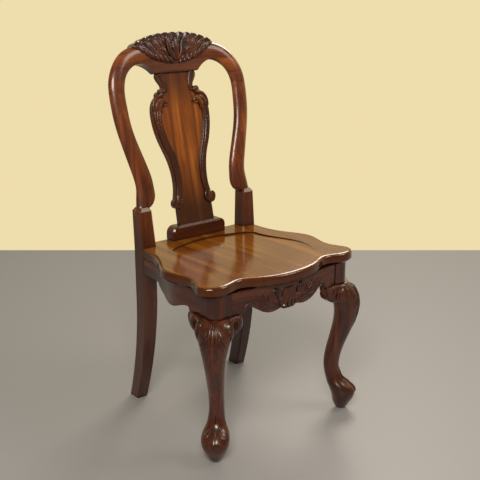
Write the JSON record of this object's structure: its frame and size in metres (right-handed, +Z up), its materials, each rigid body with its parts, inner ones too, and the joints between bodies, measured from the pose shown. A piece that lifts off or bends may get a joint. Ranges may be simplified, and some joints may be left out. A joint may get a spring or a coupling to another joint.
{
  "type": "wooden dining chair",
  "caption": "Carved wooden side chair with cabriole front legs, a hooped back with a vase-shaped splat and shell crest, and a dished solid seat with a serpentine edge.",
  "frame": {"origin": "middle of the bounding box, on the floor", "axes": "+Z up, the chair faces -Y, +X to the right seen from the front"},
  "size_m": [0.5122, 0.536, 0.9985],
  "materials": {
    "polished_wood": "glossy reddish-brown varnish, darker in the carving",
    "secondary_wood": "plain unvarnished hardwood inside the frame"
  },
  "bodies": {
    "root": {"seat_panel": "polished_wood", "rear_leg_right": "polished_wood", "rear_leg_left": "polished_wood", "crest_rail": "polished_wood", "splat": "polished_wood", "splat_shoe": "polished_wood", "front_leg_right": "polished_wood", "front_leg_left": "polished_wood", "front_rail": "polished_wood", "side_rail_right": "polished_wood", "side_rail_left": "polished_wood", "rear_rail": "polished_wood", "knee_block_front_right": "polished_wood", "knee_block_front_left": "polished_wood", "knee_block_side_right": "polished_wood", "knee_block_side_left": "polished_wood", "corner_block_front_right": "secondary_wood", "corner_block_front_left": "secondary_wood", "corner_block_rear_right": "secondary_wood", "corner_block_rear_left": "secondary_wood", "crest_tenons": "secondary_wood"}
  },
  "joints": []
}
